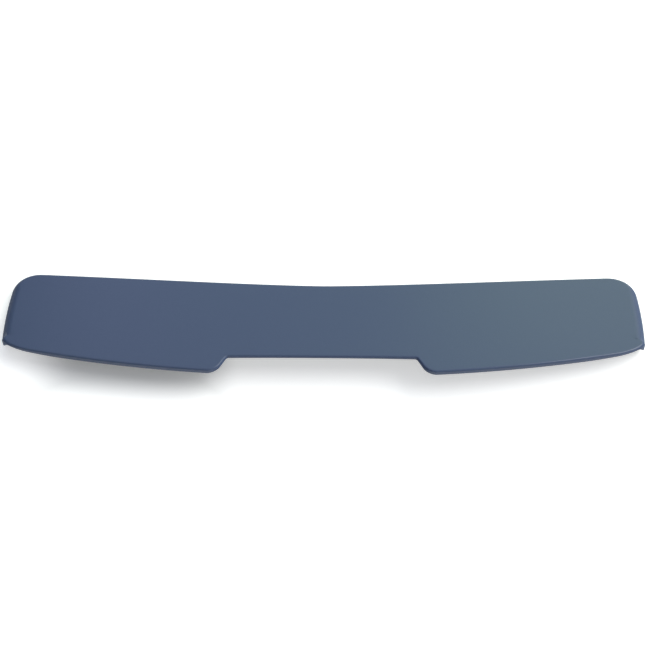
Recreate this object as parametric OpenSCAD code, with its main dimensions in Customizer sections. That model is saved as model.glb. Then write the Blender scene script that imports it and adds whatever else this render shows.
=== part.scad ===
// Rear roof spoiler of an estate car: one hollow moulded wing with a notch in its trailing edge.
// Millimetres, Z up, X across the car, +Y towards the front of the car. The part lies on Z = 0.

/* [Plan outline] */
// Overall width, tip to tip
overall_w = 1120; // [900:1:1300]
// Depth on the centreline, from the leading edge to the line of the trailing edge
chord_mid = 198; // [150:0.5:260]
// How far the leading edge runs forward at the tips
lead_sweep = 46; // [0:0.5:80]
// How the leading edge bends, 1 for straight flanks and 2 for a parabola
lead_power = 1.56; // [1.2:0.01:3]
// How far the trailing edge runs forward at the tips
trail_sweep = 75.3; // [0:0.5:110]
// How the trailing edge bends
trail_power = 2.17; // [1.2:0.01:3]
// Front corner, set back along the leading edge
front_corner_x = 57; // [10:0.5:90]
// Front corner, set back along the side
front_corner_y = 40.5; // [10:0.5:80]
// Rear corner, set back along the trailing edge
rear_corner_x = 57; // [10:0.5:120]
// Rear corner, set back along the side
rear_corner_y = 20; // [5:0.5:50]
// How far each side bows outwards between its corners
side_bow = 2; // [0:0.25:6]

/* [Notch in the trailing edge] */
// Width of the notch along its inner edge
notch_w = 321.5; // [150:0.5:420]
// Depth of the notch from the line of the trailing edge
notch_depth = 37; // [20:0.5:60]
// How far each side of the notch slopes outwards
notch_flare = 18.5; // [5:0.5:50]
// Corner where the notch meets the trailing edge, set back each way
lobe_corner = 15.5; // [5:0.5:18]
// Inner corner of the notch, set back each way
inner_corner = 3; // [1:0.5:8]

/* [Top surface] */
// Height of the trailing edge line on the centreline above the floor
top_z = 66; // [55:0.5:90]
// Drop of the top from the centreline to the tips
crown = 24; // [5:0.5:40]
// How the crown bends
crown_power = 2.4; // [1.8:0.05:4]
// Fall of the top towards the leading edge
top_slope_deg = 2.9; // [0:0.1:8]
// Further fall of the top at the leading edge, by its bow
top_bow = 5; // [0:0.5:15]

/* [Edges] */
// Rolled top edge, width in plan at the leading and trailing edge
roll_in = 3.5; // [2:0.25:10]
// Rolled top edge, drop at the leading and trailing edge
roll_down = 3.5; // [2:0.25:8]
// How late the tip's wider roll begins round the rear corners
tip_turn = 6; // [2:0.5:8]
// Rolled top edge, width in plan at the tips
tip_roll_in = 18; // [5:0.5:30]
// Rolled top edge, drop at the tips
tip_roll_down = 16; // [5:0.5:20]
// Thickness of the trailing edge
edge_t = 11; // [10:0.25:18]
// Thickness of the edge inside the notch and at the rear corners
thin_edge_t = 7; // [6:0.25:12]
// Length at each tip over which the trailing edge gets thin
thin_run = 110; // [80:1:140]
// How much thicker the edge is where a rear corner turns into the side
tip_extra_t = 15; // [12:0.5:20]
// Radius of the lower edge all round
under_r = 2; // [1:0.25:3]

/* [Underside] */
// Height of the underside above the floor near the tips
foot_z = 6.5; // [5:0.25:12]
// Rise of the underside from there to the centreline
arch_h = 20; // [0:0.5:30]
// Where the arch ends, distance in from the tip
arch_tip_in = 90; // [40:5:260]
// How the arch bends
arch_power = 2.2; // [1.5:0.05:4]
// Run of the underside from the trailing edge to the foot, as a share of the centreline depth
tail_part = 0.35; // [0.25:0.01:0.45]
// Width of the flat ledge under the leading edge
ledge_w = 26; // [15:0.5:40]
// Run of the step behind the ledge, as a share of the centreline depth
ledge_part = 0.1; // [0.05:0.01:0.15]
// Height of that step
ledge_lift = 6; // [0:0.5:10]
// Wall of the moulding
wall = 3; // [2:0.25:5]

/* [Fixing points] */
// Outer fixing points, distance in from the tip
fix_tip_in = 130; // [90:1:260]
// Outer front fixing points, distance forward of the middle as a share of the centreline depth
fix_front_part = 0.23; // [0.1:0.01:0.3]
// Outer rear fixing points, distance behind the middle as a share of the centreline depth
fix_rear_part = 0.04; // [0:0.01:0.1]
// Inner fixing points, distance forward of the middle as a share of the centreline depth
fix_inner_part = 0.07; // [0:0.01:0.15]
// Height of the inner seats above the floor
inner_seat_z = 22; // [10:0.5:30]
// Radius of a seat's face
seat_r = 17; // [12:0.5:24]
// Side draft of a seat, added to its radius where it joins the wall
seat_draft = 3; // [1:0.5:6]
// Thread insert, outer radius
insert_r = 5; // [4:0.25:7]
// Thread insert, length
insert_l = 12; // [8:0.5:16]
// Thread insert, wall radius of its tapped hole
thread_r = 2.5; // [1.5:0.1:4]
// Thread insert, radius of its flange
flange_r = 7; // [5.5:0.25:9]
// Thread insert, thickness of its flange
flange_t = 1; // [0.5:0.1:2]
// Play between the insert and its seat
insert_play = 0; // [0:0.05:0.2]
// Plastic left round and behind an insert
insert_wall = 4; // [2:0.5:8]
// Locating pegs, distance forward of the middle as a share of the centreline depth
peg_part = 0.05; // [0:0.01:0.12]
// Locating pegs, radius
peg_r = 4; // [2.5:0.25:6]
// Locating pegs, length below the underside
peg_l = 14; // [8:0.5:18]

/* [Seals, tapes and plugs] */
// Foam ring, thickness when fitted
ring_t = 4; // [2:0.5:6]
// Foam ring, outer radius
ring_r = 15; // [10:0.5:20]
// Foam ring, hole radius
ring_hole_r = 8; // [6:0.5:12]
// Front seal, distance of its front side from the leading edge
seal_in = 10; // [6:0.5:14]
// Front seal, width
seal_w = 12; // [6:0.5:14]
// Front seal, thickness
seal_t = 4; // [2:0.5:6]
// Tape pad at each tip, width
tape_w = 40; // [20:1:50]
// Tape pad at each tip, depth
tape_d = 18; // [10:1:30]
// Tape pad at each tip, thickness
tape_t = 2; // [1:0.25:3]
// Tape pad, distance of its middle in from the tip
tape_tip_in = 53; // [45:1:80]
// Tape pad, distance forward of the middle as a share of the centreline depth
tape_part = 0.15; // [0:0.01:0.25]
// Blow hole, radius
vent_r = 5; // [3:0.25:8]
// Blow hole, distance forward of the middle as a share of the centreline depth
vent_part = 0.05; // [0:0.01:0.15]
// Plug, radius of its head
plug_head_r = 9; // [7:0.25:12]
// Plug, thickness of its head
plug_head_t = 1.5; // [1:0.25:3]
// Plug, length of its stem
plug_stem_l = 8; // [5:0.5:12]
// Play between the plug's stem and its hole
plug_play = 0.1; // [0.05:0.05:0.3]
// How far the flat land round a blow hole stands below the underside
vent_land = 1.5; // [1:0.25:3]

/* [Stiffening cones] */
// Cones pressed up from below to brace the top, radius at the underside
cone_r = 15; // [10:0.5:22]
// Cones, radius at the top
cone_tip_r = 6; // [3:0.5:10]
// Cones, distance forward of the middle as a share of the centreline depth
cone_part = 0.04; // [0:0.01:0.1]
// Cones on each side of the one on the centreline
cone_count = 3; // [1:1:4]
// Last cone, distance in from the outer fixing points
cone_gap = 100; // [60:1:160]

/* [Show] */
// The piece to draw

/* [Hidden] */

half_w = overall_w / 2;
notch_half = notch_w / 2;
outer_seat_z = ring_t;
arch_half = half_w - arch_tip_in;
tail_run = chord_mid * tail_part;
ledge_run = chord_mid * ledge_part;
fix_outer_x = half_w - fix_tip_in;
fix_front_y = chord_mid * fix_front_part;
fix_rear_y = chord_mid * fix_rear_part;
fix_inner_y = chord_mid * fix_inner_part;
tape_x = half_w - tape_tip_in;
tape_y = chord_mid * tape_part;
cone_pitch = (fix_outer_x - cone_gap) / cone_count;
cone_y = chord_mid * cone_part;
// Inner fixing points and blow holes stand midway between two cones
fix_inner_x = 1.5 * cone_pitch;
vent_x = 2.5 * cone_pitch;
vent_y = chord_mid * vent_part;
peg_x = cone_pitch / 2;
peg_y = chord_mid * peg_part;
round_n = 48;
small_n = 32;

function mixed(a, b, t) = a + (b - a) * t;
function smooth(t) = let (c = min(max(t, 0), 1)) c * c * (3 - 2 * c);
function unit(v) = v / norm(v);
// A rounded corner from a to b that would meet at q
function corner(a, q, b, t, k = 0.5523) = let (p = mixed(a, q, k), r = mixed(b, q, k), s = 1 - t)
    s * s * s * a + 3 * s * s * t * p + 3 * s * t * t * r + t * t * t * b;

// Leading and trailing line in plan, measured forward from the trailing edge on the centreline
function lead(x) = chord_mid + lead_sweep * pow(abs(x) / half_w, lead_power);
function trail(x) = trail_sweep * pow(abs(x) / half_w, trail_power);
function lead_grad(x) = lead_sweep * lead_power / half_w * pow(abs(x) / half_w, lead_power - 1);
function trail_grad(x) = trail_sweep * trail_power / half_w * pow(abs(x) / half_w, trail_power - 1);

// Top surface at x and at a distance d forward of the trailing edge line
function top_at(x, d) = top_z - crown * pow(abs(x) / half_w, crown_power)
    - tan(top_slope_deg) * max(d, 0) - top_bow * pow(max(d, 0) / chord_mid, 2);
// Foot of the underside, and the ledge under the leading edge
function foot_at(x) = foot_z + arch_h * (1 - pow(min(abs(x), arch_half) / arch_half, arch_power));
function lift_at(x) = ledge_lift * (1 - pow(min(abs(x) / half_w, 1), 4));

// Corner points of the outline's right half. The side bows out to half_w between its corners
fx = half_w - front_corner_x;
front_a = [fx, lead(fx)];
front_b = [half_w - side_bow, lead(fx) + lead_grad(fx) * front_corner_x - front_corner_y];
rx = half_w - rear_corner_x;
rear_a = [rx, trail(rx)];
rear_b = [half_w - side_bow, trail(rx) + trail_grad(rx) * rear_corner_x + rear_corner_y];
side_lean = 4 * side_bow / (front_b[1] - rear_b[1]);
// Where the line through a with slope g meets the line through b that leans by m
function meet(a, g, b, m) = let (x = (b[0] - m * (b[1] - a[1] + g * a[0])) / (1 - m * g))
    [x, a[1] + g * (x - a[0])];
front_q = meet(front_a, lead_grad(fx), front_b, -side_lean);
rear_q = meet(rear_a, trail_grad(rx), rear_b, side_lean);
side_q = [half_w + side_bow, (front_b[1] + rear_b[1]) / 2];
notch_q = [notch_half, notch_depth];
lobe_q = [notch_half + notch_flare, trail(notch_half + notch_flare)];
notch_dir = unit(lobe_q - notch_q);
notch_a = notch_q - [inner_corner, 0];
notch_b = notch_q + notch_dir * inner_corner;
lobe_a = lobe_q - notch_dir * lobe_corner;
lobe_x = notch_half + notch_flare + lobe_corner;
lobe_b = [lobe_x, trail(lobe_x)];

// Rear line from the centreline to the middle of the rear corner. c holds the counts of steps:
// inner edge, inner corner, side of the notch, lobe, trailing edge, half corner
function rear_line(c) = [
    for (i = [0 : c[0] - 1]) [notch_a[0] * i / c[0], notch_depth],
    for (i = [0 : c[1] - 1]) corner(notch_a, notch_q, notch_b, i / c[1]),
    for (i = [0 : c[2] - 1]) mixed(notch_b, lobe_a, i / c[2]),
    for (i = [0 : c[3] - 1]) corner(lobe_a, lobe_q, lobe_b, i / c[3]),
    for (i = [0 : c[4] - 1]) let (x = mixed(lobe_x, rx, i / c[4])) [x, trail(x)],
    for (i = [0 : c[5]]) corner(rear_a, rear_q, rear_b, 0.5 * i / c[5])];
// Front line over the same steps. Beyond the lobe its steps run evenly up to the front corner
function front_line(c, rear) = let (m = len(rear) - 1 - c[5], lobe_end = m - c[4],
        x_m = mixed(lobe_x, fx, c[4] / (c[4] + 1))) [
    for (i = [0 : m]) let (x = i <= lobe_end ? rear[i][0]
        : mixed(lobe_x, x_m, (i - lobe_end) / c[4])) [x, lead(x)],
    for (i = [1 : 2]) let (x = mixed(x_m, fx, i / 2)) [x, lead(x)],
    for (i = [1 : c[5] - 2]) corner(front_a, front_q, front_b, 0.5 * i / (c[5] - 2))];
// Side line from the rear corner's middle to the front corner's. s holds its counts of steps
function side_line(s) = [
    for (i = [0 : s[0] - 1]) corner(rear_a, rear_q, rear_b, 0.5 + 0.5 * i / s[0]),
    for (i = [0 : s[1] - 1]) corner(rear_b, side_q, front_b, i / s[1], 2 / 3),
    for (i = [0 : s[2]]) corner(front_b, front_q, front_a, 0.5 * i / s[2])];
// Right half of the outline, from the notch's middle round the tip to the leading edge's middle
function half_loop(c, s) = let (r = rear_line(c), f = front_line(c, r), e = side_line(s))
    concat(r, [for (i = [1 : len(e) - 1]) e[i]], [for (i = [len(f) - 2 : -1 : 0]) f[i]]);
// Outward direction at each point of a half outline
function outward(h) = [for (i = [0 : len(h) - 1])
    i == 0 ? [0, -1] : i == len(h) - 1 ? [0, 1] :
    let (t = unit(unit(h[i + 1] - h[i]) + unit(h[i] - h[i - 1]))) [t[1], -t[0]]];
// How far a point of the outline faces sideways, 0 to 1, later round the rear corner
function sideways(n) = pow(max(n[0], 0), n[1] < 0 ? tip_turn : 2);
// How thin the edge is at each outline point, 0 to 1: in the notch, and near the rear corners
function thin_shares(h, c) = let (lobe_end = c[0] + c[1] + c[2] + c[3], nr = lobe_end + c[4] + c[5])
    [for (i = [0 : len(h) - 1]) i <= lobe_end
        ? min(max((h[i][1] - trail(h[i][0])) / notch_depth, 0), 1)
        : smooth(1 - (half_w - h[i][0]) / thin_run)
            * (1 - smooth((h[i][1] - h[min(i, nr)][1]) / tail_run))];
// Outline moved in by a, by b where it faces sideways and by e more where the edge is thin
function moved_in(h, n, a, b, thin, e = 0) = [for (i = [0 : len(h) - 1])
    h[i] - n[i] * (mixed(a, b, sideways(n[i])) + e * thin[i])];

// Rows of a patch: distances from the trailing edge, then distances from the leading edge
function row_count(te, le) = len(te) + 1 + len(le);
function tail_share(te, le, in) = [for (d = te) 1 - smooth((d + in) / tail_run), 0, for (d = le) 0];
function ledge_share(te, le, in) = [for (d = te) 0, 0,
    for (d = le) smooth((ledge_w + ledge_run - d - in) / ledge_run)];
// Grid of plan points on the right half. h is a half outline, c and s its counts
function patch(h, c, s, te, le, tails) =
    let (nr = c[0] + c[1] + c[2] + c[3] + c[4] + c[5], m = nr - c[5], last = len(h) - 1,
        rows = row_count(te, le), j1 = rows - 1,
        base = [for (i = [0 : m]) let (a = h[i], b = h[last - i]) [for (j = [0 : j1])
            let (x = mixed(b[0], a[0], tails[j]),
                ya = a[1] + te[len(te) - 1], yb = b[1] - le[0])
            [x, j < len(te) ? a[1] + te[j] : j == len(te) ? (ya + yb) / 2
                : b[1] - le[j - len(te) - 1]]]],
        edge = base[m])
    [for (i = [0 : nr]) i <= m ? base[i] : let (t = (i - m) / c[5]) [for (j = [0 : j1])
        let (v = (edge[j][1] - edge[0][1]) / (edge[j1][1] - edge[0][1]),
            side = h[nr + j], s0 = h[nr], s1 = h[nr + j1], r = h[i], f = h[last - i])
        (1 - t) * edge[j] + t * side + (1 - v) * r + v * f
        - (1 - t) * ((1 - v) * edge[0] + v * edge[j1]) - t * ((1 - v) * s0 + v * s1)]];

// Underside height of grid column i and row j. z_edge is the height under the trailing edge
function under_at(x, z_edge, tail, ledge) = foot_at(x) + lift_at(x) * ledge
    + (z_edge - foot_at(x)) * tail;
function edge_under(p, n, thin) = top_at(p[0], p[1]) - mixed(edge_t, thin_edge_t, thin)
    - tip_extra_t * sideways(n);

// Places of one loop point in a patch, as column and row
function loop_cell(k, nr, j1) = k <= nr ? [k, 0] : k <= nr + j1 ? [nr, k - nr]
    : [nr - (k - nr - j1), j1];

// Outline at rest: the box is centred, so the trailing edge line lies at y_rear
full_c = [8, 3, 2, 6, 13, 6];
full_s = [5, 4, 4];
full_h = half_loop(full_c, full_s);
y_low = min([for (p = full_h) p[1]]);
y_high = max([for (p = full_h) p[1]]);
y_rear = -(y_low + y_high) / 2;

// A closed skin. ins is the move inwards at the edges and the tips for the top patch, then for
// the bottom patch; rim lists the rows between as functions of the loop point: [move in at the
// edges, move in at the tips, drop from the top at the edges, drop at the tips, rise from below]
// thin_in is how much further in everything lies where the edge is thin, thin_up how much higher
// the bottom
module skin(c, s, te, le, top_in, bot_in, top_cut, bot_add, rim, thin_in = 0, thin_up = 0) {
    h = half_loop(c, s);
    n = outward(h);
    thin = thin_shares(h, c);
    nr = c[0] + c[1] + c[2] + c[3] + c[4] + c[5];
    j1 = row_count(te, le) - 1;
    cols = 2 * nr + 1;
    last = len(h) - 1;
    tails = [for (i = [0 : nr]) tail_share(te, le, bot_in[0] + thin_in * thin[i])];
    ledges = ledge_share(te, le, bot_in[0]);
    z_edges = [for (i = [0 : nr]) edge_under(h[i], n[i], thin[i])];
    ht = moved_in(h, n, top_in[0], top_in[1], thin, thin_in);
    hb = moved_in(h, n, bot_in[0], bot_in[1], thin, thin_in);
    lean = tail_share(te, le, bot_in[0]);
    gt = patch(ht, c, s, te, le, lean);
    gb = patch(hb, c, s, te, le, lean);
    function under_loop(k) = let (cell = loop_cell(k, nr, j1), q = hb[k])
        under_at(q[0], z_edges[cell[0]], tails[cell[0]][cell[1]], ledges[cell[1]])
            + bot_add + thin_up * thin[cell[0]];
    // All points: top patch, rim loops, bottom patch
    function side_of(i) = i < nr ? -1 : 1;
    top_pts = [for (i = [0 : cols - 1]) let (a = abs(i - nr)) for (j = [0 : j1])
        let (p = gt[a][j]) [side_of(i) * p[0], p[1] + y_rear, top_at(p[0], p[1]) - top_cut]];
    bot_pts = [for (i = [0 : cols - 1]) let (a = abs(i - nr)) for (j = [0 : j1])
        let (p = gb[a][j]) [side_of(i) * p[0], p[1] + y_rear,
            under_at(p[0], z_edges[a], tails[a][j], ledges[j]) + bot_add + thin_up * thin[a]]];
    loop_n = 2 * last;
    function rim_pt(k, row) = let (a = k <= last ? k : loop_n - k, w = sideways(n[a]),
        q = h[a] - n[a] * (mixed(row[0], row[1], w) + thin_in * thin[a]),
        z = row[4] >= 0 ? under_loop(a) + row[4]
            : top_at(q[0], q[1]) - top_cut - mixed(row[2], row[3], w))
        [(k <= last ? 1 : -1) * q[0], q[1] + y_rear, z];
    rim_pts = [for (row = rim) for (k = [0 : loop_n - 1]) rim_pt(k, row)];
    nt = len(top_pts);
    nb = nt + len(rim_pts);
    function cell_id(k) = let (right = k <= last, a = right ? k : loop_n - k,
        cell = loop_cell(a, nr, j1)) (right ? nr + cell[0] : nr - cell[0]) * (j1 + 1) + cell[1];
    function loop_id(r, k0) = let (k = k0 % loop_n) r == 0 ? cell_id(k)
        : r > len(rim) ? nb + cell_id(k) : nt + (r - 1) * loop_n + k;
    function quad(a, b, c, d, flip) = flip ? [[a, b, d], [b, c, d]] : [[a, b, c], [a, c, d]];
    faces = [
        for (i = [0 : cols - 2]) for (j = [0 : j1 - 1]) let (a = i * (j1 + 1) + j)
            each quad(a, a + 1, a + j1 + 2, a + j1 + 1, i < nr),
        for (i = [0 : cols - 2]) for (j = [0 : j1 - 1]) let (a = nb + i * (j1 + 1) + j)
            each quad(a, a + j1 + 1, a + j1 + 2, a + 1, i < nr),
        for (r = [0 : len(rim)]) for (k = [0 : loop_n - 1])
            each quad(loop_id(r, k), loop_id(r, k + 1), loop_id(r + 1, k + 1), loop_id(r + 1, k),
                k >= last)];
    polyhedron(concat(top_pts, rim_pts, bot_pts), faces, convexity = 6);
}

tail_rows = [for (i = [0 : 6]) tail_run * i / 6];
ledge_rows = [ledge_w + ledge_run, ledge_w + ledge_run / 2, ledge_w, seal_in + seal_w - under_r,
    seal_in - under_r, 0];
roll_n = 5;
radius_n = 3;
outer_rim = [
    for (i = [1 : roll_n]) let (t = 90 * i / roll_n) [roll_in * (1 - sin(t)),
        tip_roll_in * (1 - sin(t)), roll_down * (1 - cos(t)), tip_roll_down * (1 - cos(t)), -1],
    for (i = [0 : radius_n - 1]) let (t = 90 * i / radius_n)
        [under_r * (1 - cos(t)), under_r * (1 - cos(t)), 0, 0, under_r * (1 - sin(t))]];
module outer_skin() skin(full_c, full_s, tail_rows, ledge_rows, [roll_in, tip_roll_in],
    [under_r, under_r], 0, 0, outer_rim);

// The hollow inside keeps the wall's distance from the outer skin
core_in = roll_in + wall / 2;
core_tip_in = tip_roll_in - wall;
core_bevel = 1;
core_c = [3, 2, 3, 3, 6, 4];
core_s = [2, 2, 3];
core_rim = [[core_in, core_tip_in, core_bevel, core_bevel, -1], [core_in, core_tip_in, 0, 0, core_bevel]];
core_thin_in = 14;
core_thin_up = 2.5;
core_tail_rows = [for (f = [0, 0.3, 0.62, 0.85]) f * tail_run];
core_face_in = [core_in + core_bevel, core_tip_in + core_bevel];
core_ledge_rows = [ledge_w + ledge_run - core_face_in[0], ledge_w - core_face_in[0], 0];
module core() skin(core_c, core_s, core_tail_rows, core_ledge_rows, core_face_in, core_face_in,
    wall, wall, core_rim, core_thin_in, core_thin_up);

// Fixing points: side, distance across, distance forward, height of the seat
function fix_point(i) = [[-1, fix_outer_x, fix_front_y, outer_seat_z],
    [1, fix_outer_x, fix_front_y, outer_seat_z], [-1, fix_outer_x, -fix_rear_y, outer_seat_z],
    [1, fix_outer_x, -fix_rear_y, outer_seat_z], [-1, fix_inner_x, fix_inner_y, inner_seat_z],
    [1, fix_inner_x, fix_inner_y, inner_seat_z]][i];
module at_fix(i) translate([fix_point(i)[0] * fix_point(i)[1], fix_point(i)[2], fix_point(i)[3]])
    children();
// Height of the plain underside above a seat, and of the top, at a point of the frame
function plain_top(x, y) = top_at(x, y - y_rear);
seat_h = 10;
module seat() cylinder(h = seat_h, r1 = seat_r, r2 = seat_r + seat_draft, $fn = round_n);
module pillar() cylinder(h = insert_l + insert_wall, r = insert_r + insert_wall, $fn = round_n);

// Blow holes, each with a flat land for the head of its plug
vent_z = foot_at(vent_x) - vent_land;
land_r = plug_head_r + 1;
land_h = 2 * vent_land + 1;
module at_vent(side) translate([side * vent_x, vent_y, vent_z]) children();

// Cones stand clear of the seats and of the blow holes
cone_places = [for (i = [-cone_count : cone_count]) let (x = abs(i * cone_pitch))
    if (abs(x - fix_inner_x) > cone_r + seat_r + seat_draft && abs(x - vent_x) > cone_r + land_r)
        i * cone_pitch];
cone_start = 1;
function cone_h(x) = plain_top(x, cone_y) - 2 * wall - foot_at(x) + cone_start;
module press_cone(x) translate([x, cone_y, foot_at(x) - cone_start])
    cylinder(h = cone_h(x), r1 = cone_r, r2 = cone_tip_r, $fn = round_n);
module cone_wall(x) translate([x, cone_y, foot_at(x) - cone_start])
    cylinder(h = cone_h(x) + 2 * wall, r1 = cone_r + wall, r2 = cone_tip_r + wall, $fn = round_n);

module spoiler_body() color([0.30, 0.37, 0.46]) difference() {
    union() {
        outer_skin();
        for (i = [0 : 5]) at_fix(i) seat();
        for (s = [-1, 1]) at_vent(s) cylinder(h = land_h, r = land_r, $fn = round_n);
        for (s = [-1, 1]) translate([s * peg_x, peg_y, foot_at(peg_x) - peg_l])
            cylinder(h = peg_l + wall, r = peg_r, $fn = small_n);
    }
    difference() {
        core();
        for (i = [0 : 5]) at_fix(i) {
            pillar();
            cylinder(h = seat_h + wall, r = seat_r + seat_draft, $fn = round_n);
        }
        for (s = [-1, 1]) at_vent(s) cylinder(h = land_h + wall, r = land_r, $fn = round_n);
        for (x = cone_places) cone_wall(x);
    }
    for (i = [0 : 5]) at_fix(i) {
        translate([0, 0, -1]) cylinder(h = insert_l + 1, r = insert_r + insert_play, $fn = small_n);
        translate([0, 0, -1]) cylinder(h = flange_t + 1, r = flange_r + insert_play, $fn = small_n);
    }
    for (x = cone_places) press_cone(x);
    for (s = [-1, 1]) at_vent(s) translate([0, 0, -1])
        cylinder(h = land_h + wall + 2, r = vent_r, $fn = small_n);
}

module insert(i) color([0.78, 0.62, 0.32]) at_fix(i) difference() {
    union() {
        cylinder(h = insert_l, r = insert_r, $fn = small_n);
        cylinder(h = flange_t, r = flange_r, $fn = small_n);
    }
    translate([0, 0, -1]) cylinder(h = insert_l + 2, r = thread_r, $fn = small_n);
}

module ring(i) color([0.16, 0.16, 0.17]) at_fix(i) translate([0, 0, -ring_t]) difference() {
    cylinder(h = ring_t, r = ring_r, $fn = round_n);
    translate([0, 0, -1]) cylinder(h = ring_t + 2, r = ring_hole_r, $fn = small_n);
}

// The front seal lies against the ledge, on the same steps as the skin
module front_seal() {
    n = outward(full_h);
    h = moved_in(full_h, n, under_r, under_r, thin_shares(full_h, full_c));
    last = len(h) - 1;
    nr = full_c[0] + full_c[1] + full_c[2] + full_c[3] + full_c[4] + full_c[5];
    m = nr - full_c[5];
    function seal_pt(i, inwards, down) = let (a = abs(i), p = h[last - a])
        [i < 0 ? -p[0] : p[0], p[1] - inwards + y_rear, foot_at(p[0]) + lift_at(p[0]) - down];
    rings = [for (i = [-m : m]) [seal_pt(i, seal_in - under_r, 0),
        seal_pt(i, seal_in + seal_w - under_r, 0), seal_pt(i, seal_in + seal_w - under_r, seal_t),
        seal_pt(i, seal_in - under_r, seal_t)]];
    count = len(rings);
    color([0.13, 0.13, 0.14]) polyhedron([for (r = rings) each r], [[0, 1, 2], [0, 2, 3],
        [4 * count - 4, 4 * count - 2, 4 * count - 3], [4 * count - 4, 4 * count - 1, 4 * count - 2],
        for (i = [0 : count - 2]) for (k = [0 : 3]) let (a = 4 * i + k, b = 4 * i + (k + 1) % 4)
            each [[a, a + 4, b], [b, a + 4, b + 4]]], convexity = 4);
}

module tip_tape(side) color([0.22, 0.22, 0.24])
    translate([side * tape_x - tape_w / 2, tape_y - tape_d / 2, foot_z - tape_t])
    cube([tape_w, tape_d, tape_t]);

module blow_plug(side) color([0.10, 0.10, 0.11]) at_vent(side) union() {
    translate([0, 0, -plug_head_t]) cylinder(h = plug_head_t, r = plug_head_r, $fn = round_n);
    translate([0, 0, -plug_head_t]) cylinder(h = plug_head_t + plug_stem_l,
        r = vent_r - plug_play, $fn = small_n);
}

spoiler_body();
insert(0);  // insert_outer_front_left
insert(1);  // insert_outer_front_right
insert(2);  // insert_outer_rear_left
insert(3);  // insert_outer_rear_right
insert(4);  // insert_inner_left
insert(5);  // insert_inner_right
ring(0);  // ring_outer_front_left
ring(1);  // ring_outer_front_right
ring(2);  // ring_outer_rear_left
ring(3);  // ring_outer_rear_right
ring(4);  // ring_inner_left
ring(5);  // ring_inner_right
front_seal();
tip_tape(-1);  // tip_tape_left
tip_tape(1);  // tip_tape_right
blow_plug(-1);  // blow_plug_left
blow_plug(1);  // blow_plug_right
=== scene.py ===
import math

import bmesh
import bpy
import numpy as np
from mathutils import Matrix, Vector


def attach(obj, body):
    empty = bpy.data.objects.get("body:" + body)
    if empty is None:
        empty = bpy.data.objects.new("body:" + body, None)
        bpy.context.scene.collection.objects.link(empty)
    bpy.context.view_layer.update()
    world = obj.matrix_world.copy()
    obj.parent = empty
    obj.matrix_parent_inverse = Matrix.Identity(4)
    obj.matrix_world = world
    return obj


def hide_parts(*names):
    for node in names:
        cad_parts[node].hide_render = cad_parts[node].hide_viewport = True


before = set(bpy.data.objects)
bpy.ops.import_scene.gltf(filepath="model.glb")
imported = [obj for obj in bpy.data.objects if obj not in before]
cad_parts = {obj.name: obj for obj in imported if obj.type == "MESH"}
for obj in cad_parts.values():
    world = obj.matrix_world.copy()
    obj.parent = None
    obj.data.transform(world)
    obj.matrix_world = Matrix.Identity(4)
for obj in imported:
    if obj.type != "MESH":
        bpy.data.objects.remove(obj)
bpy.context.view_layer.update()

MM = 0.001

# Sizes in millimetres, the same as in the part's source. Z up, +Y to the front of the car.
HALF_W = 560.0
CHORD, LEAD_SWEEP, LEAD_POWER = 198.0, 46.0, 1.56
TRAIL_SWEEP, TRAIL_POWER = 75.3, 2.17
FRONT_CX, FRONT_CY, REAR_CX, REAR_CY, SIDE_BOW = 57.0, 40.5, 57.0, 20.0, 2.0
NOTCH_HALF, NOTCH_D, NOTCH_FLARE, LOBE, INNER = 160.75, 37.0, 18.5, 15.5, 3.0
TOP_Z, CROWN, CROWN_POWER, SLOPE, BOW = 66.0, 24.0, 2.4, math.tan(math.radians(2.9)), 5.0
ROLL_IN, ROLL_DOWN, TIP_ROLL_IN, TIP_ROLL_DOWN = 3.5, 3.5, 18.0, 16.0
# How fast the roll and the depth of a tip set in round its rear and its front corner, as powers
TIP_TURN, FRONT_TURN = 6.0, 2.0
EDGE_T, THIN_T, THIN_RUN, TIP_EXTRA, UNDER_R = 11.0, 7.0, 110.0, 15.0, 2.0
FOOT_Z, ARCH_H, ARCH_HALF, ARCH_POWER = 6.5, 20.0, 470.0, 2.2
TAIL_RUN, LEDGE_W, LEDGE_RUN, LEDGE_LIFT = 0.35 * CHORD, 26.0, 0.1 * CHORD, 6.0
WALL = 3.0
FIX = [(s * x, y * CHORD, z)
       for x, y, z in ((430.0, 0.23, 4.0), (430.0, -0.04, 4.0), (165.0, 0.07, 22.0))
       for s in (-1, 1)]
FIX_NAMES = ["outer_front_left", "outer_front_right", "outer_rear_left", "outer_rear_right",
             "inner_left", "inner_right"]
SEAT_R, SEAT_DRAFT, SEAT_H = 17.0, 3.0, 10.0
INSERT_R, INSERT_L, THREAD_R, FLANGE_R, FLANGE_T = 5.0, 12.0, 2.5, 7.0, 1.0
PEG_X, PEG_Y, PEG_R, PEG_L = 55.0, 0.05 * CHORD, 4.0, 14.0
RING_T, RING_R, RING_HOLE = 4.0, 15.0, 8.0
SEAL_IN, SEAL_W, SEAL_T = 10.0, 12.0, 4.0
TAPE_W, TAPE_D, TAPE_T, TAPE_X, TAPE_Y = 40.0, 18.0, 2.0, 507.0, 0.15 * CHORD
VENT_R, VENT_X, VENT_Y, VENT_LAND, HEAD_R, HEAD_T = 5.0, 275.0, 0.05 * CHORD, 1.5, 9.0, 1.5
CONE_R, CONE_TIP, CONE_Y = 15.0, 6.0, 0.04 * CHORD
CONES = [i * 110.0 for i in range(-3, 4)]
LOBE_X = NOTCH_HALF + NOTCH_FLARE + LOBE
# The seal ends one of the source's 14 steps before the front corner
SEAL_END = LOBE_X + (HALF_W - FRONT_CX - LOBE_X) * 13 / 14

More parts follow.
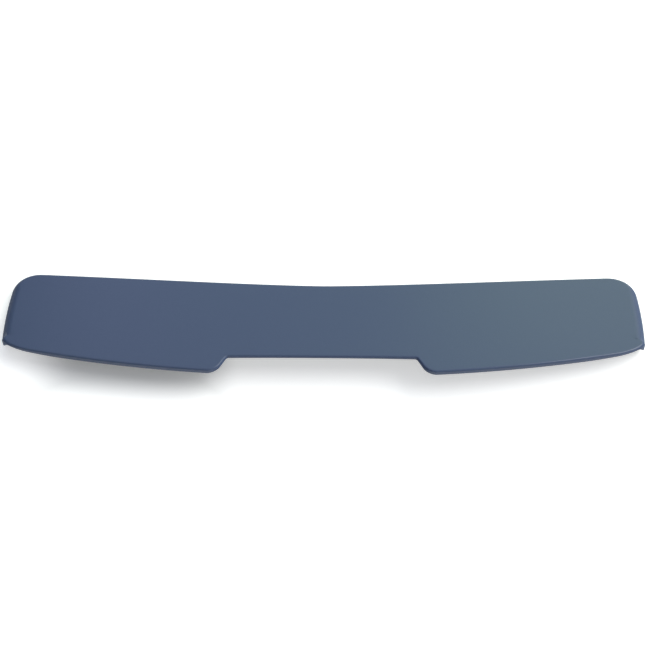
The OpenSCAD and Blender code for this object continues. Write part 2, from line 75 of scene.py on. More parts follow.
# Sizes in millimetres that are only in the scene: small roundings and finer forms
SEAT_ROUND, PEG_ROUND, LAND_ROUND, RING_ROUND = 1.2, 0.6, 0.5, 0.5
LAND_R, LAND_H, VENT_TOP, OVERCUT = HEAD_R + 1, 4.0, 9.0, 1.0
# A cone's rounded mouth, as distances outside its radius and heights, and its rounded top
CONE_MOUTH = [(2.2, -2.0), (2.2, 0.0), (0.9, 0.35), (0.1, 1.2), (-0.4, 2.6)]
CONE_ROUND = 2.0
THREAD_TURNS, THREAD_PITCH, THREAD_CUT, THREAD_END, THREAD_MOUTH = 10, 1.0, 0.45, 0.8, 0.5
FLANGE_BEVEL = 0.3
PLUG_DISH, PLUG_DISH_R, PLUG_ROUND = 0.35, (4.0, 4.6), 0.6
PLUG_PLAY, PLUG_TOP, PLUG_BEVEL = 0.1, 8.0, 1.0
TAPE_CORNER, TAPE_BEVEL = 3.0, 0.3
# The seal's rounded edge, as distances from its side and from its face
SEAL_ROUND = [(0.0, 1.2), (0.5, 0.3), (1.6, 0.0)]
# The overspray fades over this distance from the edge of the underside
OVERSPRAY = 26.0

# Edges of the skin and of the small pieces that turn by more than these angles stay sharp
SHARP, SHARP_SEAL, SHARP_THREAD = 38.0, 30.0, 25.0
# Pull of a curve's ends towards its corner, for a quarter round and for the bow of the sides
ROUND_PULL, BOW_PULL = 0.5523, 2 / 3


def lead(x):
    """Distance of the leading edge forward of the trailing edge's middle, at x across."""
    return CHORD + LEAD_SWEEP * (abs(x) / HALF_W) ** LEAD_POWER


def trail(x):
    """The same for the trailing edge, without the notch."""
    return TRAIL_SWEEP * (abs(x) / HALF_W) ** TRAIL_POWER


def lead_grad(x):
    return LEAD_SWEEP * LEAD_POWER / HALF_W * (abs(x) / HALF_W) ** (LEAD_POWER - 1)


def trail_grad(x):
    return TRAIL_SWEEP * TRAIL_POWER / HALF_W * (abs(x) / HALF_W) ** (TRAIL_POWER - 1)


def smooth(t):
    """Smooth step from 0 to 1."""
    c = np.clip(t, 0, 1)
    return c * c * (3 - 2 * c)


def top_at(x, d):
    """Height of the top, at x across and d forward of the trailing edge's middle."""
    d = np.maximum(d, 0)
    return TOP_Z - CROWN * (np.abs(x) / HALF_W) ** CROWN_POWER - SLOPE * d - BOW * (d / CHORD) ** 2


def foot_at(x):
    """Height of the plain underside, which arches over the roof."""
    return FOOT_Z + ARCH_H * (1 - (np.minimum(np.abs(x), ARCH_HALF) / ARCH_HALF) ** ARCH_POWER)


def lift_at(x):
    """How far the ledge under the leading edge stands above the plain underside."""
    return LEDGE_LIFT * (1 - np.minimum(np.abs(x) / HALF_W, 1) ** 4)


def corner(a, q, b, ts, k=ROUND_PULL):
    """Points at the shares ts of a curve from a to b that rounds off the corner q."""
    a, q, b = map(np.array, (a, q, b))
    p, r = a + (q - a) * k, b + (q - b) * k
    t = np.array(ts)[:, None]
    s = 1 - t
    return s**3 * a + 3 * s * s * t * p + 3 * s * t * t * r + t**3 * b


def line(a, b, ts):
    """Points at the shares ts of the line from a to b."""
    t = np.array(ts)[:, None]
    return np.array(a) * (1 - t) + np.array(b) * t


def meet(a, g, b, m):
    """Where the line through a with slope g meets the line through b that leans by m."""
    x = (b[0] - m * (b[1] - a[1] + g * a[0])) / (1 - m * g)
    return np.array([x, a[1] + g * (x - a[0])])


def steps(n, last=False):
    """Even shares from 0, with the last one, 1, only where it is asked for."""
    return np.arange(n + (1 if last else 0)) / n


def outline(c, s):
    """Right half of the plan outline, from the notch's middle round the tip to the leading edge's.

    The counts c are the steps on the notch, its inner corner, its flank, the lobe, the trailing
    edge and half a corner, and s those on the two halves of the corners and the side between."""
    fx, rx = HALF_W - FRONT_CX, HALF_W - REAR_CX
    fa, ra = (fx, lead(fx)), (rx, trail(rx))
    fb = (HALF_W - SIDE_BOW, fa[1] + lead_grad(fx) * FRONT_CX - FRONT_CY)
    rb = (HALF_W - SIDE_BOW, ra[1] + trail_grad(rx) * REAR_CX + REAR_CY)
    lean = 4 * SIDE_BOW / (fb[1] - rb[1])
    fq, rq = meet(fa, lead_grad(fx), fb, -lean), meet(ra, trail_grad(rx), rb, lean)
    sq = (HALF_W + SIDE_BOW, (fb[1] + rb[1]) / 2)
    nq = np.array([NOTCH_HALF, NOTCH_D])
    lx = NOTCH_HALF + NOTCH_FLARE
    lq = np.array([lx, trail(lx)])
    d = (lq - nq) / np.linalg.norm(lq - nq)
    na, nb = nq - (INNER, 0), nq + d * INNER
    la, lbx = lq - d * LOBE, lx + LOBE
    lb = (lbx, trail(lbx))
    xs = lbx + (rx - lbx) * steps(c[4])
    rear = np.vstack([
        line((0, NOTCH_D), na, steps(c[0])), corner(na, nq, nb, steps(c[1])),
        line(nb, la, steps(c[2])), corner(la, lq, lb, steps(c[3])),
        np.array([(x, trail(x)) for x in xs]), corner(ra, rq, rb, 0.5 * steps(c[5], True))])
    lobe_end = sum(c[:4])
    xm = lbx + (fx - lbx) * c[4] / (c[4] + 1)
    front_x = np.r_[rear[:lobe_end, 0], lbx + (xm - lbx) * steps(c[4], True), (xm + fx) / 2, fx]
    front = np.vstack([
        np.array([(x, lead(x)) for x in front_x]),
        corner(fa, fq, fb, 0.5 * np.arange(1, c[5] - 1) / (c[5] - 2))])
    side = np.vstack([
        corner(ra, rq, rb, 0.5 + 0.5 * steps(s[0])), corner(rb, sq, fb, steps(s[1]), BOW_PULL),
        corner(fb, fq, fa, 0.5 * steps(s[2], True))])
    return np.vstack([rear, side[1:], front[-2::-1]])


def outward(h):
    """Outward directions at the points of an outline."""
    t = h[1:] - h[:-1]
    t /= np.linalg.norm(t, axis=1)[:, None]
    m = t[1:] + t[:-1]
    m /= np.linalg.norm(m, axis=1)[:, None]
    n = np.c_[m[:, 1], -m[:, 0]]
    return np.vstack([[0, -1], n, [0, 1]])


coarse = outline([8, 3, 2, 6, 13, 6], [5, 4, 4])
Y_REAR = -(coarse[:, 1].min() + coarse[:, 1].max()) / 2


def rows_of(n_te, n_mid, n_le, n_ledge):
    """Rows of a patch as (kind, value): distance from the trailing edge, share of the middle,
    distance from the leading edge."""
    far = LEDGE_W + LEDGE_RUN
    return ([("te", TAIL_RUN * i / n_te) for i in range(n_te + 1)]
            + [("mid", i / (n_mid + 1)) for i in range(1, n_mid + 1)]
            + [("le", far - LEDGE_RUN * i / n_le) for i in range(n_le)]
            + [("le", LEDGE_W * (1 - i / n_ledge)) for i in range(n_ledge + 1)])


def patch(h, c, rows, tails):
    """Grid of plan points on the right half, columns across and rows along the chord."""
    nr = sum(c)
    m, last, j1 = nr - c[5], len(h) - 1, len(rows) - 1
    grid = np.zeros((nr + 1, j1 + 1, 2))
    for i in range(m + 1):
        a, b = h[i], h[last - i]
        ya, yb = a[1] + TAIL_RUN, b[1] - LEDGE_W - LEDGE_RUN
        for j, (kind, v) in enumerate(rows):
            y = a[1] + v if kind == "te" else ya + (yb - ya) * v if kind == "mid" else b[1] - v
            grid[i, j] = (b[0] + (a[0] - b[0]) * tails[j], y)
    edge = grid[m].copy()
    v = ((edge[:, 1] - edge[0, 1]) / (edge[-1, 1] - edge[0, 1]))[:, None]
    side = h[nr:nr + j1 + 1]
    for i in range(m + 1, nr + 1):
        t = (i - m) / c[5]
        grid[i] = ((1 - t) * edge + t * side + (1 - v) * h[i] + v * h[last - i]
                   - (1 - t) * ((1 - v) * edge[0] + v * edge[-1])
                   - t * ((1 - v) * side[0] + v * side[-1]))
    return grid


def skin_mesh(name, c, s, rows, n_roll, n_face, n_round):
    """The closed outer skin as a Blender mesh in metres, with the share of paint on each point."""
    h = outline(c, s)
    n = outward(h)
    w = np.maximum(n[:, 0], 0) ** np.where(n[:, 1] < 0, TIP_TURN, FRONT_TURN)
    nr, j1, last = sum(c), len(rows) - 1, len(h) - 1
    tails = np.array([1 - smooth((v + UNDER_R) / TAIL_RUN) if k == "te" else 0.0 for k, v in rows])
    ledge = np.array([smooth((LEDGE_W + LEDGE_RUN - v - UNDER_R) / LEDGE_RUN) if k == "le" else 0.0
                      for k, v in rows])
    rear, lobe_end = h[:nr + 1], sum(c[:4])
    thin = np.clip((rear[:, 1] - trail(rear[:, 0])) / NOTCH_D, 0, 1)
    thin[lobe_end + 1:] = smooth(1 - (HALF_W - rear[lobe_end + 1:, 0]) / THIN_RUN)
    z_edge = (top_at(rear[:, 0], rear[:, 1]) - EDGE_T + (EDGE_T - THIN_T) * thin
              - TIP_EXTRA * w[:nr + 1])

    def under(x, ze, j):
        return foot_at(x) + lift_at(x) * ledge[j] + (ze - foot_at(x)) * tails[j]

    ht = h - n * (ROLL_IN + (TIP_ROLL_IN - ROLL_IN) * w)[:, None]
    hb = h - n * UNDER_R
    gt, gb = patch(ht, c, rows, tails), patch(hb, c, rows, tails)
    cols = 2 * nr + 1
    verts, paint = [], []
    for i in range(cols):
        a, sx = abs(i - nr), (-1 if i < nr else 1)
        for j in range(j1 + 1):
            x, y = gt[a, j]
            verts.append((sx * x, y + Y_REAR, top_at(x, y)))
            paint.append(1.0)
    nt = len(verts)

    def cell(k):
        return (k, 0) if k <= nr else (nr, k - nr) if k <= nr + j1 else (nr - (k - nr - j1), j1)

    loop_n = 2 * last
    ze_k = np.array([z_edge[cell(k)[0]] for k in range(last + 1)])
    zb_k = np.array([under(hb[k, 0], ze_k[k], cell(k)[1]) for k in range(last + 1)])
    a_k, b_k = ROLL_IN + (TIP_ROLL_IN - ROLL_IN) * w, ROLL_DOWN + (TIP_ROLL_DOWN - ROLL_DOWN) * w
    rim = []
    for i in range(1, n_roll + 1):
        t = math.pi / 2 * i / n_roll
        q = h - n * (a_k * (1 - math.sin(t)))[:, None]
        rim.append((q, top_at(q[:, 0], q[:, 1]) - b_k * (1 - math.cos(t))))
    z0, z1 = rim[-1][1], zb_k + UNDER_R
    for i in range(1, n_face):
        rim.append((h, z0 + (z1 - z0) * i / n_face))
    for i in range(n_round):
        t = math.pi / 2 * i / n_round
        q = h - n * UNDER_R * (1 - math.cos(t))
        rim.append((q, zb_k + UNDER_R * (1 - math.sin(t))))
    for r, (q, z) in enumerate(rim):
        for k in range(loop_n):
            a = k if k <= last else loop_n - k
            verts.append(((1 if k <= last else -1) * q[a, 0], q[a, 1] + Y_REAR, z[a]))
            paint.append(1.0)
    nb = len(verts)
    for i in range(cols):
        a, sx = abs(i - nr), (-1 if i < nr else 1)
        for j in range(j1 + 1):
            x, y = gb[a, j]
            verts.append((sx * x, y + Y_REAR, under(x, z_edge[a], j)))
            inwards = min(abs(y - hb[a, 1]), abs(hb[last - a, 1] - y), HALF_W - x)
            paint.append(float(1 - smooth(inwards / OVERSPRAY)))

    def cell_id(k):
        a = k if k <= last else loop_n - k
        i, j = cell(a)
        return ((nr + i) if k <= last else (nr - i)) * (j1 + 1) + j

    def loop_id(r, k):
        k %= loop_n
        if r == 0:
            return cell_id(k)
        if r > len(rim):
            return nb + cell_id(k)
        return nt + (r - 1) * loop_n + k

    faces = []
    for i in range(cols - 1):
        for j in range(j1):
            a = i * (j1 + 1) + j
            faces.append((a, a + j1 + 1, a + j1 + 2, a + 1))
            b = nb + a
            faces.append((b, b + 1, b + j1 + 2, b + j1 + 1))
    for r in range(len(rim) + 1):
        for k in range(loop_n):
            faces.append((loop_id(r, k), loop_id(r + 1, k), loop_id(r + 1, k + 1),
                          loop_id(r, k + 1)))
    mesh = bpy.data.meshes.new(name)
    mesh.from_pydata([(x * MM, y * MM, z * MM) for x, y, z in verts], [], faces)
    attr = mesh.attributes.new("paint", "FLOAT", "POINT")
    attr.data.foreach_set("value", np.array(paint, np.float32))
    mesh.update()
    return mesh


def add(name, data, *mats):
    """A new object in the scene, with the materials given."""
    o = bpy.data.objects.new(name, data)
    bpy.context.scene.collection.objects.link(o)
    for m in mats:
        o.data.materials.append(m)
    return o


def lathe(profile, at, n=96):
    """Revolved closed profile of (radius, height) pairs in mm about a vertical axis, as a bmesh."""
    bm = bmesh.new()
    rings = []
    for r, z in profile:
        if r < 1e-6:
            rings.append([bm.verts.new((at[0] * MM, at[1] * MM, (at[2] + z) * MM))])
        else:
            rings.append([bm.verts.new(((at[0] + r * math.cos(2 * math.pi * i / n)) * MM,
                                        (at[1] + r * math.sin(2 * math.pi * i / n)) * MM,
                                        (at[2] + z) * MM)) for i in range(n)])
    for a, b in zip(rings, rings[1:] + rings[:1]):
        if len(a) == 1 and len(b) == 1:
            continue
        for i in range(n):
            k = (i + 1) % n
            if len(a) == 1:
                bm.faces.new((a[0], b[i], b[k]))
            elif len(b) == 1:
                bm.faces.new((a[i], b[0], a[k]))
            else:
                bm.faces.new((a[i], b[i], b[k], a[k]))
    bmesh.ops.recalc_face_normals(bm, faces=bm.faces)
    return bm


def arc(cx, cz, r, a0, a1, n):
    """Points of a profile on an arc of n steps from angle a0 to a1, in degrees."""
    return [(cx + r * math.cos(math.radians(a0 + (a1 - a0) * i / n)),
             cz + r * math.sin(math.radians(a0 + (a1 - a0) * i / n))) for i in range(n + 1)]


def to_mesh(bm, name):
    mesh = bpy.data.meshes.new(name)
    bm.to_mesh(mesh)
    bm.free()
    return mesh


def joined(parts, name):
    """One mesh of several bmesh parts."""
    bm = bmesh.new()
    for p in parts:
        m = to_mesh(p, "part")
        bm.from_mesh(m)
        bpy.data.meshes.remove(m)
    return to_mesh(bm, name)


def smooth_with_sharp(o, angle=SHARP):
    bm = bmesh.new()
    bm.from_mesh(o.data)
    lim = math.radians(angle)
    for f in bm.faces:
        f.smooth = True
    for e in bm.edges:
        e.smooth = not (len(e.link_faces) == 2 and e.calc_face_angle(0) > lim)
    bm.to_mesh(o.data)
    bm.free()


def boolean(o, other, op):
    """Apply a boolean with another object, which is then deleted."""
    mod = o.modifiers.new("cut", "BOOLEAN")
    mod.operation, mod.solver, mod.object = op, "EXACT", other
    dg = bpy.context.evaluated_depsgraph_get()
    done = bpy.data.meshes.new_from_object(o.evaluated_get(dg), depsgraph=dg)
    o.modifiers.remove(mod)
    old = o.data
    o.data = done
    bpy.data.meshes.remove(old)
    mesh = other.data
    bpy.data.objects.remove(other)
    bpy.data.meshes.remove(mesh)


def with_zero_paint(mesh):
    """The mesh with the paint's material and no paint, for what the moulding gets below."""
    a = mesh.attributes.new("paint", "FLOAT", "POINT")
    a.data.foreach_set("value", np.zeros(len(mesh.vertices), np.float32))
    mesh.materials.append(PAINT)
    return mesh


def piece(name, mesh, mat, node, sharp=SHARP):
    """A finished piece that stands for a CAD node."""
    o = add(name, mesh, mat)
    smooth_with_sharp(o, sharp)
    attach(o, "root")
    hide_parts(node)


# Materials

# Result of a smooth step as pairs of input and output: the paint's edge, and the contrast of its
# flakes and clouds
PAINT_EDGE = (0.35, 0.0), (0.62, 1.0)
MOTTLE = (0.35, 0.0), (0.7, 1.0)
# The coat by the height of the surface's direction, and by how far it points to the side
COAT_ON_EDGE, COAT_ON_TOP = (0.3, 0.55), (0.95, 0.85)
COAT_BEFORE_TIP, COAT_ON_TIP = (0.25, 1.0), (0.7, 0.06)
BASE_GLOSS = 0.05
# Scales of a small piece's roughness and grain against its colour, and the roughness's spread
ROUGH_SCALE, GRAIN_SCALE, ROUGH_SPREAD = 0.4, 2.2, 0.06
# First, second and result socket of a Mix node
MIX_SOCKETS = {"RGBA": (6, 7, 2), "FLOAT": (2, 3, 0)}


class Nodes:
    """Short calls that build the nodes of a material or a world."""

    def __init__(self, owner):
        owner.use_nodes = True
        self.tree = owner.node_tree
        self.place = None

    def new(self, kind, **props):
        n = self.tree.nodes.new(kind)
        for k, v in props.items():
            setattr(n, k, v)
        return n

    def put(self, sock, v):
        """Set a socket to a number or a colour, or link it to another socket."""
        if isinstance(v, bpy.types.NodeSocket):
            self.tree.links.new(v, sock)
        else:
            sock.default_value = (*v, 1.0) if isinstance(v, tuple) else v

    def fill(self, node, **inputs):
        """Set a node's inputs by their names, with an underscore for each space."""
        for k, v in inputs.items():
            self.put(node.inputs[k.replace("_", " ")], v)

    def axes(self, vector):
        """The X, Y and Z of a vector."""
        n = self.new("ShaderNodeSeparateXYZ")
        self.put(n.inputs[0], vector)
        return n.outputs

    def coords(self, kind="Object"):
        if self.place is None:
            self.place = self.new("ShaderNodeTexCoord")
        return self.place.outputs[kind]

    def noise(self, scale, detail=3.0, rough=0.5):
        n = self.new("ShaderNodeTexNoise")
        self.fill(n, Vector=self.coords(), Scale=scale, Detail=detail, Roughness=rough)
        return n.outputs["Fac"]

    def math(self, op, a, b=0.0):
        n = self.new("ShaderNodeMath", operation=op)
        self.put(n.inputs[0], a)
        self.put(n.inputs[1], b)
        return n.outputs[0]

    def ramp(self, value, start, end):
        """Smooth step from start to end, each a pair of input and output."""
        n = self.new("ShaderNodeMapRange", interpolation_type="SMOOTHSTEP")
        self.fill(n, Value=value, From_Min=start[0], From_Max=end[0], To_Min=start[1],
                  To_Max=end[1])
        return n.outputs["Result"]

    def mix(self, fac, a, b, kind="RGBA"):
        n = self.new("ShaderNodeMix", data_type=kind)
        first, second, result = MIX_SOCKETS[kind]
        for i, v in ((0, fac), (first, a), (second, b)):
            self.put(n.inputs[i], v)
        return n.outputs[result]

    def bump(self, height, strength, distance):
        n = self.new("ShaderNodeBump")
        self.fill(n, Height=height, Strength=strength, Distance=distance)
        return n.outputs["Normal"]


def new_material(name):
    """A new material, its nodes and its shader."""
    mat = bpy.data.materials.new(name)
    m = Nodes(mat)
    return mat, m, m.tree.nodes["Principled BSDF"]


def srgb(r, g, b):
    """A colour written from 0 to 255, as the linear colour that a shader takes."""
    def linear(c):
        c /= 255
        return c / 12.92 if c <= 0.04045 else ((c + 0.055) / 1.055) ** 2.4
    return linear(r), linear(g), linear(b)


def paint_material():
    """Slate-blue paint under clear coat, fading by overspray to the bare black moulding below.

    The coat gets thinner where the surface turns down at the edges and sideways at the tips."""
    mat, m, shader = new_material("slate_paint")
    share = m.new("ShaderNodeAttribute", attribute_name="paint").outputs["Fac"]
    speck = m.noise(scale=900.0, detail=2.0, rough=0.6)
    haze = m.noise(scale=22.0, detail=4.0, rough=0.6)
    for spread, amount in ((speck, 0.55), (haze, 0.5)):
        share = m.math("ADD", share, m.math("MULTIPLY", m.math("SUBTRACT", spread, 0.5), amount))
    painted = m.ramp(share, *PAINT_EDGE)
    flake = m.ramp(m.noise(scale=2600.0, detail=1.0), *MOTTLE)
    cloud = m.ramp(m.noise(scale=5.0), *MOTTLE)
    base = m.mix(flake, srgb(66, 79, 108), srgb(75, 88, 118))
    base = m.mix(m.math("MULTIPLY", cloud, 0.25), base, srgb(73, 87, 114))
    bare = m.mix(m.noise(scale=180.0), srgb(30, 31, 33), srgb(41, 42, 45))
    facing = m.axes(m.new("ShaderNodeNewGeometry").outputs["Normal"])
    coat = m.math("MULTIPLY", m.ramp(facing["Z"], COAT_ON_EDGE, COAT_ON_TOP),
                  m.ramp(m.math("ABSOLUTE", facing["X"]), COAT_BEFORE_TIP, COAT_ON_TIP))
    peel = m.noise(scale=420.0, detail=2.0)
    grain = m.math("MULTIPLY", m.noise(scale=1400.0, detail=2.0, rough=0.6),
                   m.math("SUBTRACT", 1.0, painted))
    m.fill(shader, Base_Color=m.mix(painted, bare, base), Metallic=0.0,
           Roughness=m.mix(painted, 0.62, 0.5, "FLOAT"), Specular_IOR_Level=BASE_GLOSS,
           Normal=m.bump(grain, strength=0.35, distance=0.0004),
           Coat_Weight=m.math("MULTIPLY", painted, coat), Coat_Roughness=0.22, Coat_IOR=1.5,
           Coat_Normal=m.bump(peel, strength=0.05, distance=0.0004))
    return mat


def small_material(name, dark, light, scale, rough, strength, distance, metallic=0.0):
    """Two shades in fine noise, with uneven roughness and a grain of that strength and depth."""
    mat, m, shader = new_material(name)
    m.fill(shader, Base_Color=m.mix(m.noise(scale, rough=0.6), srgb(*dark), srgb(*light)),
           Metallic=metallic, Normal=m.bump(m.noise(scale * GRAIN_SCALE), strength, distance),
           Roughness=m.mix(m.noise(scale * ROUGH_SCALE), rough - ROUGH_SPREAD,
                           rough + ROUGH_SPREAD, "FLOAT"))
    return mat


PAINT = paint_material()
BRASS = small_material("turned_brass", (170, 128, 62), (205, 165, 92), 700.0, 0.33, 0.2, 0.0002,
                       metallic=1.0)
FOAM = small_material("ring_foam", (28, 28, 30), (48, 48, 50), 900.0, 0.9, 0.6, 0.0005)
RUBBER = small_material("seal_rubber", (22, 22, 24), (36, 36, 38), 300.0, 0.7, 0.25, 0.0004)
TAPE = small_material("tape_foam", (52, 52, 56), (70, 70, 74), 500.0, 0.8, 0.3, 0.0003)
NYLON = small_material("plug_nylon", (24, 24, 25), (38, 38, 39), 400.0, 0.5, 0.2, 0.0003)

# The moulding. Its counts are those of outline(), and finer than the source's

COUNTS = [26, 8, 12, 22, 46, 26]
ROWS = rows_of(18, 8, 8, 8)
SIDE_END = 16
SIDE = [SIDE_END, len(ROWS) - 1 - 2 * SIDE_END, SIDE_END]
ROLL_STEPS, FACE_STEPS, UNDER_STEPS = 12, 3, 5
body = add("spoiler_skin", skin_mesh("spoiler_skin", COUNTS, SIDE, ROWS,
                                     ROLL_STEPS, FACE_STEPS, UNDER_STEPS), PAINT)
VENTS = [(s * VENT_X, VENT_Y, float(foot_at(VENT_X)) - VENT_LAND) for s in (-1, 1)]
PEGS = [(s * PEG_X, PEG_Y, float(foot_at(PEG_X)) - PEG_L) for s in (-1, 1)]

adds = []
for at in FIX:
    adds.append(lathe([(0, 0)] + arc(SEAT_R - SEAT_ROUND, SEAT_ROUND, SEAT_ROUND, -90, 0, 5)
                      + [(SEAT_R + SEAT_DRAFT, SEAT_H), (0, SEAT_H)], at))
for peg, vent in zip(PEGS, VENTS):
    peg_top = PEG_L + WALL * 0.6
    adds.append(lathe([(0, 0), (PEG_R - 2 * PEG_ROUND, 0)]
                      + arc(PEG_R - PEG_ROUND, PEG_ROUND, PEG_ROUND, -60, 0, 3)
                      + [(PEG_R, peg_top), (0, peg_top)], peg, 64))
    adds.append(lathe([(0, 0)] + arc(LAND_R - LAND_ROUND, LAND_ROUND, LAND_ROUND, -90, 0, 4)
                      + [(LAND_R, LAND_H), (0, LAND_H)], vent, 72))
boolean(body, add("adds", with_zero_paint(joined(adds, "adds"))), "UNION")

cuts = []
for at in FIX:
    cuts.append(lathe([(0, -OVERCUT), (FLANGE_R, -OVERCUT), (FLANGE_R, FLANGE_T),
                       (INSERT_R, FLANGE_T), (INSERT_R, INSERT_L), (0, INSERT_L)], at, 64))
for x in CONES:
    z = float(foot_at(x))
    top = float(top_at(x, CONE_Y - Y_REAR)) - 2 * WALL - z
    lean = (CONE_TIP - CONE_R) / (top + 1)
    mouth = [(CONE_R + out, up) for out, up in CONE_MOUTH]
    wall_end = (mouth[-1][0] + lean * (top - 6), top - 3.0)
    cuts.append(lathe([(0, CONE_MOUTH[0][1])] + mouth + [wall_end]
                      + arc(CONE_TIP - CONE_ROUND, top - CONE_ROUND, CONE_ROUND, 0, 90, 5)
                      + [(0, top)], (x, CONE_Y, z), 72))
for vent in VENTS:
    cuts.append(lathe([(0, -OVERCUT), (VENT_R, -OVERCUT), (VENT_R, VENT_TOP), (0, VENT_TOP)],
                      vent, 48))
boolean(body, add("cuts", with_zero_paint(joined(cuts, "cuts"))), "DIFFERENCE")
smooth_with_sharp(body)
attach(body, "root")
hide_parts("spoiler_body")

# Rings and inserts

ring = ([(RING_HOLE, -RING_T + RING_ROUND)]
        + arc(RING_HOLE + RING_ROUND, -RING_T + RING_ROUND, RING_ROUND, 180, 270, 4)
        + arc(RING_R - RING_ROUND, -RING_T + RING_ROUND, RING_ROUND, 270, 360, 4)
        + [(RING_R, 0), (RING_HOLE, 0)])
insert = [(THREAD_R + THREAD_MOUTH, 0.0), (FLANGE_R - FLANGE_BEVEL, 0.0), (FLANGE_R, FLANGE_BEVEL),
          (FLANGE_R, FLANGE_T), (INSERT_R, FLANGE_T), (INSERT_R, INSERT_L), (THREAD_R, INSERT_L)]
for i in range(THREAD_TURNS):
    z = INSERT_L - THREAD_END - i * THREAD_PITCH
    insert += [(THREAD_R, z), (THREAD_R + THREAD_CUT, z - THREAD_PITCH / 2)]
for at, label in zip(FIX, FIX_NAMES):
    piece("foam_ring_" + label, to_mesh(lathe(ring, at, 96), "foam_ring"), FOAM,
          "ring_" + label)
    piece("brass_insert_" + label, to_mesh(lathe(insert, at, 64), "brass_insert"), BRASS,
          "insert_" + label, SHARP_THREAD)

# Plugs and tapes

stem = VENT_R - PLUG_PLAY
plug = ([(0, -HEAD_T + PLUG_DISH), (PLUG_DISH_R[0], -HEAD_T + PLUG_DISH),
         (PLUG_DISH_R[1], -HEAD_T), (HEAD_R - PLUG_ROUND, -HEAD_T)]
        + arc(HEAD_R - PLUG_ROUND, -HEAD_T + PLUG_ROUND, PLUG_ROUND, -90, 0, 4)
        + [(HEAD_R, 0), (stem, 0), (stem, PLUG_TOP - PLUG_BEVEL), (stem - PLUG_BEVEL, PLUG_TOP),
           (0, PLUG_TOP)])
for s, side, vent in zip((-1, 1), ("left", "right"), VENTS):
    piece("vent_plug_" + side, to_mesh(lathe(plug, vent, 72), "vent_plug"), NYLON,
          "blow_plug_" + side)
    bm = bmesh.new()
    bmesh.ops.create_cube(bm, size=1.0)
    for v in bm.verts:
        v.co = ((s * TAPE_X + v.co.x * TAPE_W) * MM, (TAPE_Y + v.co.y * TAPE_D) * MM,
                (FOOT_Z - TAPE_T / 2 + v.co.z * TAPE_T) * MM)
    upright = [e for e in bm.edges if abs(e.verts[0].co.z - e.verts[1].co.z) > 1e-5]
    bmesh.ops.bevel(bm, geom=upright, offset=TAPE_CORNER * MM, segments=6, affect="EDGES",
                    profile=0.5)
    low = [e for e in bm.edges
           if all(abs(v.co.z - (FOOT_Z - TAPE_T) * MM) < 1e-6 for v in e.verts)]
    bmesh.ops.bevel(bm, geom=low, offset=TAPE_BEVEL * MM, segments=3, affect="EDGES", profile=0.5)
    piece("foam_tape_" + side, to_mesh(bm, "foam_tape"), TAPE, "tip_tape_" + side)

# The seal follows the underside's front edge, without points that crowd its end

h = outline(COUNTS, SIDE)
edge = (h - outward(h) * UNDER_R)[::-1][:sum(COUNTS)]
near_end = SEAL_END * (1 - 1 / 200)
half = np.vstack([edge[edge[:, 0] < near_end],
                  [SEAL_END, np.interp(SEAL_END, edge[:, 0], edge[:, 1])]])
a_in, b_in = SEAL_IN - UNDER_R, SEAL_IN + SEAL_W - UNDER_R
section = ([(a_in, 0.0)] + [(a_in + i, SEAL_T - t) for i, t in SEAL_ROUND]
           + [((a_in + b_in) / 2, SEAL_T)]
           + [(b_in - i, SEAL_T - t) for i, t in SEAL_ROUND[::-1]] + [(b_in, 0.0)])
bm = bmesh.new()
rows = []
for x, y in np.vstack([half[:0:-1] * (-1, 1), half]):
    z = float(foot_at(x) + lift_at(x))
    rows.append([bm.verts.new((x * MM, (y - d + Y_REAR) * MM, (z - t) * MM)) for d, t in section])
for p, q in zip(rows, rows[1:]):
    for i in range(len(p)):
        k = (i + 1) % len(p)
        bm.faces.new((p[i], q[i], q[k], p[k]))
bm.faces.new(rows[0])
bm.faces.new(rows[-1][::-1])
bmesh.ops.recalc_face_normals(bm, faces=bm.faces)
piece("edge_seal", to_mesh(bm, "edge_seal"), RUBBER, "front_seal", SHARP_SEAL)

# The floor, in metres. It glows for the camera, reflections and glass only, so that it is pale and
# keeps the shadow. The glow is low inside four limits, each given as its axis, where the low glow
# ends and where the high glow begins: there the picture's shadow is darker, so the low glow is a
# painted shadow on the floor, added to the shadow that the lamps cast

FLOOR_Z, FLOOR_SIZE, FLOOR_COLOUR = -0.0002, 60.0, 0.84
GLOW_LOW, GLOW_HIGH = 0.20, 0.52
PAINTED_SHADOW_LIMITS = (("X", -0.22, -0.14), ("X", -0.42, -0.54), ("Y", -0.085, -0.15), ("Y", 0.0, 0.05))


def floor_material():
    mat, m, shader = new_material("floor")
    rays = m.new("ShaderNodeLightPath").outputs
    seen = rays["Is Camera Ray"]
    for ray in ("Is Glossy Ray", "Is Transmission Ray"):
        seen = m.math("MAXIMUM", seen, rays[ray])
    place = m.axes(m.coords())
    # The lower glow inside the limits darkens the floor there: a painted shadow
    level = None
    for axis, low, high in PAINTED_SHADOW_LIMITS:
        glow = m.ramp(place[axis], (low, GLOW_LOW), (high, GLOW_HIGH))
        level = glow if level is None else m.math("MAXIMUM", level, glow)
    m.fill(shader, Base_Color=(FLOOR_COLOUR,) * 3, Roughness=0.9, Specular_IOR_Level=0.2,
           Emission_Color=(1.0, 1.0, 1.0), Emission_Strength=m.math("MULTIPLY", seen, level))
    return mat


bm = bmesh.new()
bmesh.ops.create_grid(bm, x_segments=1, y_segments=1, size=FLOOR_SIZE)
for v in bm.verts:
    v.co.z = FLOOR_Z
floor = add("floor", to_mesh(bm, "floor"), floor_material())

# The key light, in metres and watts, points at the object

KEY_AT, KEY_SIZE, KEY_POWER = (5.2, 0.8, 5.4), (6.0, 6.0), 410.0
key_data = bpy.data.lights.new("key", "AREA")
key_data.shape, key_data.energy = "RECTANGLE", KEY_POWER
key_data.size, key_data.size_y = KEY_SIZE
key = add("key", key_data)
key.location = KEY_AT
key.rotation_euler = (-Vector(KEY_AT)).to_track_quat("-Z", "Y").to_euler()

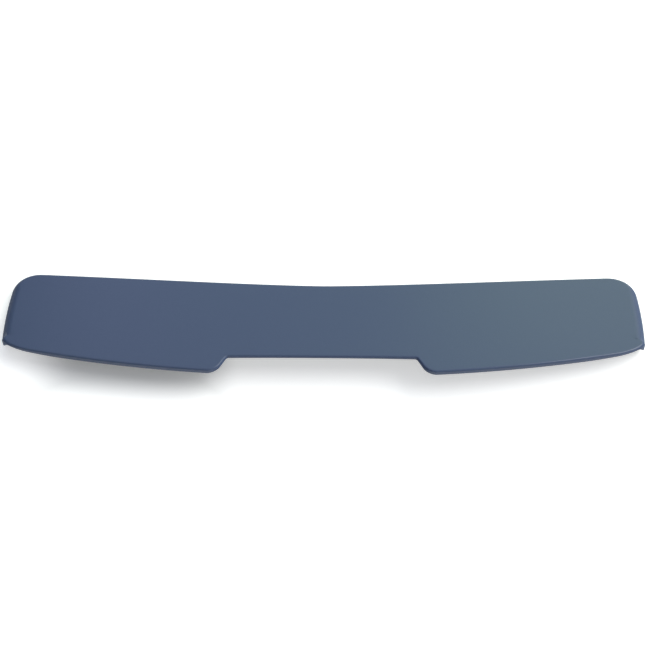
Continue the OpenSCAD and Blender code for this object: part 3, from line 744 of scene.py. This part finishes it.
# The world is a soft room. Behind the object it runs from dim on the left to bright on the right,
# on the camera's side it is dim except low on the right, and near the horizon it is pale. BACK has
# the colours behind the object by the direction's X

BACK = [(-0.42, (0.10, 0.12, 0.20)), (-0.26, (0.72, 0.76, 1.12)), (-0.12, (0.54, 0.66, 0.78)),
        (0.02, (0.62, 0.78, 0.78)), (0.13, (1.10, 1.48, 1.00)), (0.25, (1.32, 1.7, 1.14)),
        (0.38, (1.12, 1.40, 0.82)), (0.7, (1.0, 1.1, 0.9))]
FRONT_LEFT, FRONT_RIGHT, FRONT_HIGH = (0.05, 0.06, 0.07), (0.85, 0.88, 0.88), (0.25, 0.27, 0.30)
ZENITH, PALE = (0.55, 0.58, 0.60), (0.9, 0.9, 0.9)
world = bpy.data.worlds.new("studio")
bpy.context.scene.world = world
room = Nodes(world)
direction = room.axes(room.coords("Generated"))


def blend_along(axis, lo, hi, a, b):
    """From a to b as the direction's share of an axis goes from lo to hi."""
    return room.mix(room.ramp(direction[axis], (lo, 0.0), (hi, 1.0)), a, b)


behind = BACK[0][1]
for (lo, _), (hi, colour) in zip(BACK, BACK[1:]):
    behind = blend_along("X", lo, hi, behind, colour)
ahead = blend_along("X", -0.1, 0.8, FRONT_LEFT, FRONT_RIGHT)
ahead = blend_along("Z", 0.35, 0.8, ahead, FRONT_HIGH)
sky = blend_along("Y", -0.3, 0.25, ahead, behind)
sky = blend_along("Z", 0.62, 0.98, sky, ZENITH)
sky = blend_along("Z", 0.0, 0.06, PALE, sky)
room.fill(room.tree.nodes["Background"], Color=sky, Strength=1.0)

# The camera as fitted to the picture's outline: angles in degrees, distance in mm, and focal length
# and centre in pixels of the picture. SENSOR is in mm, and TARGET in metres

PICTURE, SENSOR = 650.0, 36.0
AZ, EL, ROLL, DIST, FOCAL, CX, CY = 1.648, 54.0, -0.932, 2500.0, 1434.4, 322.62, 322.99
TARGET = Vector((0.0, (Y_REAR + 128.33) * MM, 0.034))
cam_data = bpy.data.cameras.new("camera")
cam = add("camera", cam_data)
a, e = math.radians(AZ), math.radians(EL)
backward = Vector((math.sin(a) * math.cos(e), -math.cos(a) * math.cos(e), math.sin(e)))
cam.location = TARGET + backward * (DIST * MM)
level_view = (-backward).to_track_quat("-Z", "Y").to_matrix()
cam.rotation_mode = "QUATERNION"
cam.rotation_quaternion = (level_view @ Matrix.Rotation(math.radians(ROLL), 3, "Z")).to_quaternion()
cam_data.sensor_width = SENSOR
cam_data.lens = FOCAL * SENSOR / PICTURE
cam_data.clip_end = 100
cam_data.shift_x = -(CX - PICTURE / 2) / PICTURE
cam_data.shift_y = (CY - PICTURE / 2) / PICTURE
bpy.context.scene.camera = cam
bpy.context.scene.view_settings.view_transform = "Standard"
